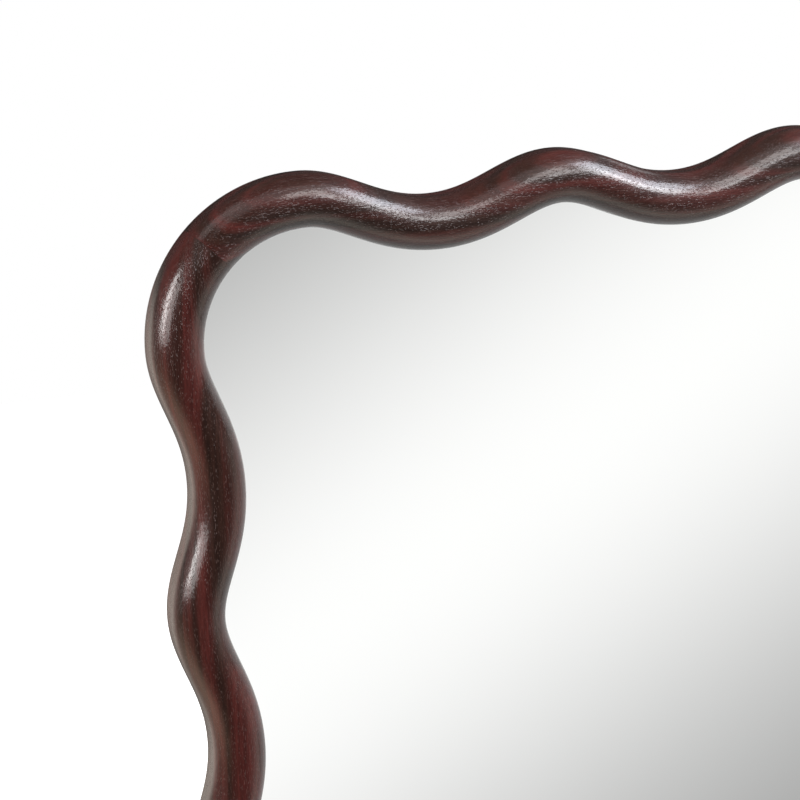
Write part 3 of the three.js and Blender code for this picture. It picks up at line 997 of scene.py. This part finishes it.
FLOOR_REACH = 4
FLOOR_DROP = 1 * MM  # below the bottom rail


def add_floor():
    """The stage's floor. It glows white, and lights or tints nothing."""
    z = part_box("rail_bottom")[0].z - FLOOR_DROP
    reach = FLOOR_REACH
    corners = [(-reach, -reach, z), (reach, -reach, z), (reach, reach, z), (-reach, reach, z)]
    floor = add_object("floor", mesh_from("floor", corners, [[0, 1, 2, 3]]))
    material, tree, surface = new_material("pale_floor")
    surface.inputs["Base Color"].default_value = (0.85, 0.85, 0.84, 1)
    surface.inputs["Roughness"].default_value = 0.7
    surface.inputs["Emission Color"].default_value = (1, 1, 1, 1)
    surface.inputs["Emission Strength"].default_value = 1
    floor.data.materials.append(material)
    floor.visible_glossy = False
    floor.visible_diffuse = False


# ---- Pieces ----

# How the grain runs, its name, and where in the wood the rails are cut, in metres.
WOOD_RUNS = [(True, "upright", (0.3, 0.12, 0.4)), (False, "level", (0.9, 0.5, 0.1))]


def add_rails():
    woods = {}
    for turned, run, offset in WOOD_RUNS:
        face = stained_wood(f"lacquered_wood_{run}", turned, offset, True)
        woods[turned] = [face, stained_wood(f"bare_wood_{run}", turned, offset, False)]
    for rail in RAILS:
        obj = add_object(f"{rail.name}_rail", rail_mesh(rail))
        wood = woods[rail.name in ("left", "right")]
        finish_piece(obj, "frame", [f"rail_{rail.name}"], wood)


def add_plates():
    inner = -RAIL_WIDTH / 2 - EDGE_CLEARANCE
    mesh = plate_mesh("mirror_glass", inner + GLASS_RABBET_WIDTH, GLASS_RISES, PLATE_ARRIS)
    glass = [silvered_glass(), backing_paint()]
    finish_piece(add_object("mirror_glass", mesh), "frame", ["mirror_plate"], glass)
    mesh = plate_mesh("hardboard_back", inner + BOARD_RABBET_WIDTH, BOARD_RISES, BOARD_ARRIS)
    board = [hardboard()] * 2
    finish_piece(add_object("hardboard_back", mesh), "frame", ["backing_board"], board)


def add_screws(metal):
    mesh = screw_mesh()
    nodes = sorted(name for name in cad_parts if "screw" in name)
    for i, node in enumerate(nodes):
        low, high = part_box(node)
        place = Vector(((low.x + high.x) / 2, high.y - HEAD_THICKNESS, (low.z + high.z) / 2))
        obj = add_object(f"{node}_fine", placed(mesh, place, i * SCREW_TURN))
        finish_piece(obj, "frame", [node], [metal])


def add_hangers(metal):
    for side in ("left", "right"):
        low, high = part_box(f"hanger_ring_{side}")
        x = (low.x + high.x) / 2
        pivot = Vector((x, (low.y + high.y) / 2, 0))
        width = high.x - low.x - WIRE_DIAMETER
        drop = -low.z - WIRE_DIAMETER / 2
        obj = add_object(f"{side}_hanging_ring", placed(ring_mesh(width, drop), pivot))
        finish_piece(obj, f"ring_{side}", [f"hanger_ring_{side}"], [metal])
        length = -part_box(f"hanger_strap_{side}")[0].z
        obj = add_object(f"{side}_hanger_strap", placed(strap_mesh(length), pivot))
        finish_piece(obj, "frame", [f"hanger_strap_{side}"], [metal])


def add_bumpers():
    material = rubber()
    for corner in ("top_left", "top_right", "bottom_left", "bottom_right"):
        low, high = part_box(f"bumper_{corner}")
        mesh = bumper_mesh((high.x - low.x) / 2, high.y - low.y)
        place = Vector(((low.x + high.x) / 2, low.y, (low.z + high.z) / 2))
        obj = add_object(f"{corner}_bumper", placed(mesh, place))
        finish_piece(obj, "frame", [f"bumper_{corner}"], [material])


def finish_dowels():
    material = beech()
    for name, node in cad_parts.items():
        if name.startswith("dowel"):
            node.data.materials.clear()
            node.data.materials.append(material)


def main():
    metal = steel()
    add_rails()
    add_plates()
    add_screws(metal)
    add_hangers(metal)
    add_bumpers()
    finish_dowels()
    add_camera()
    add_world()
    add_lights()
    add_floor()
    bpy.context.scene.view_settings.view_transform = "Standard"


main()
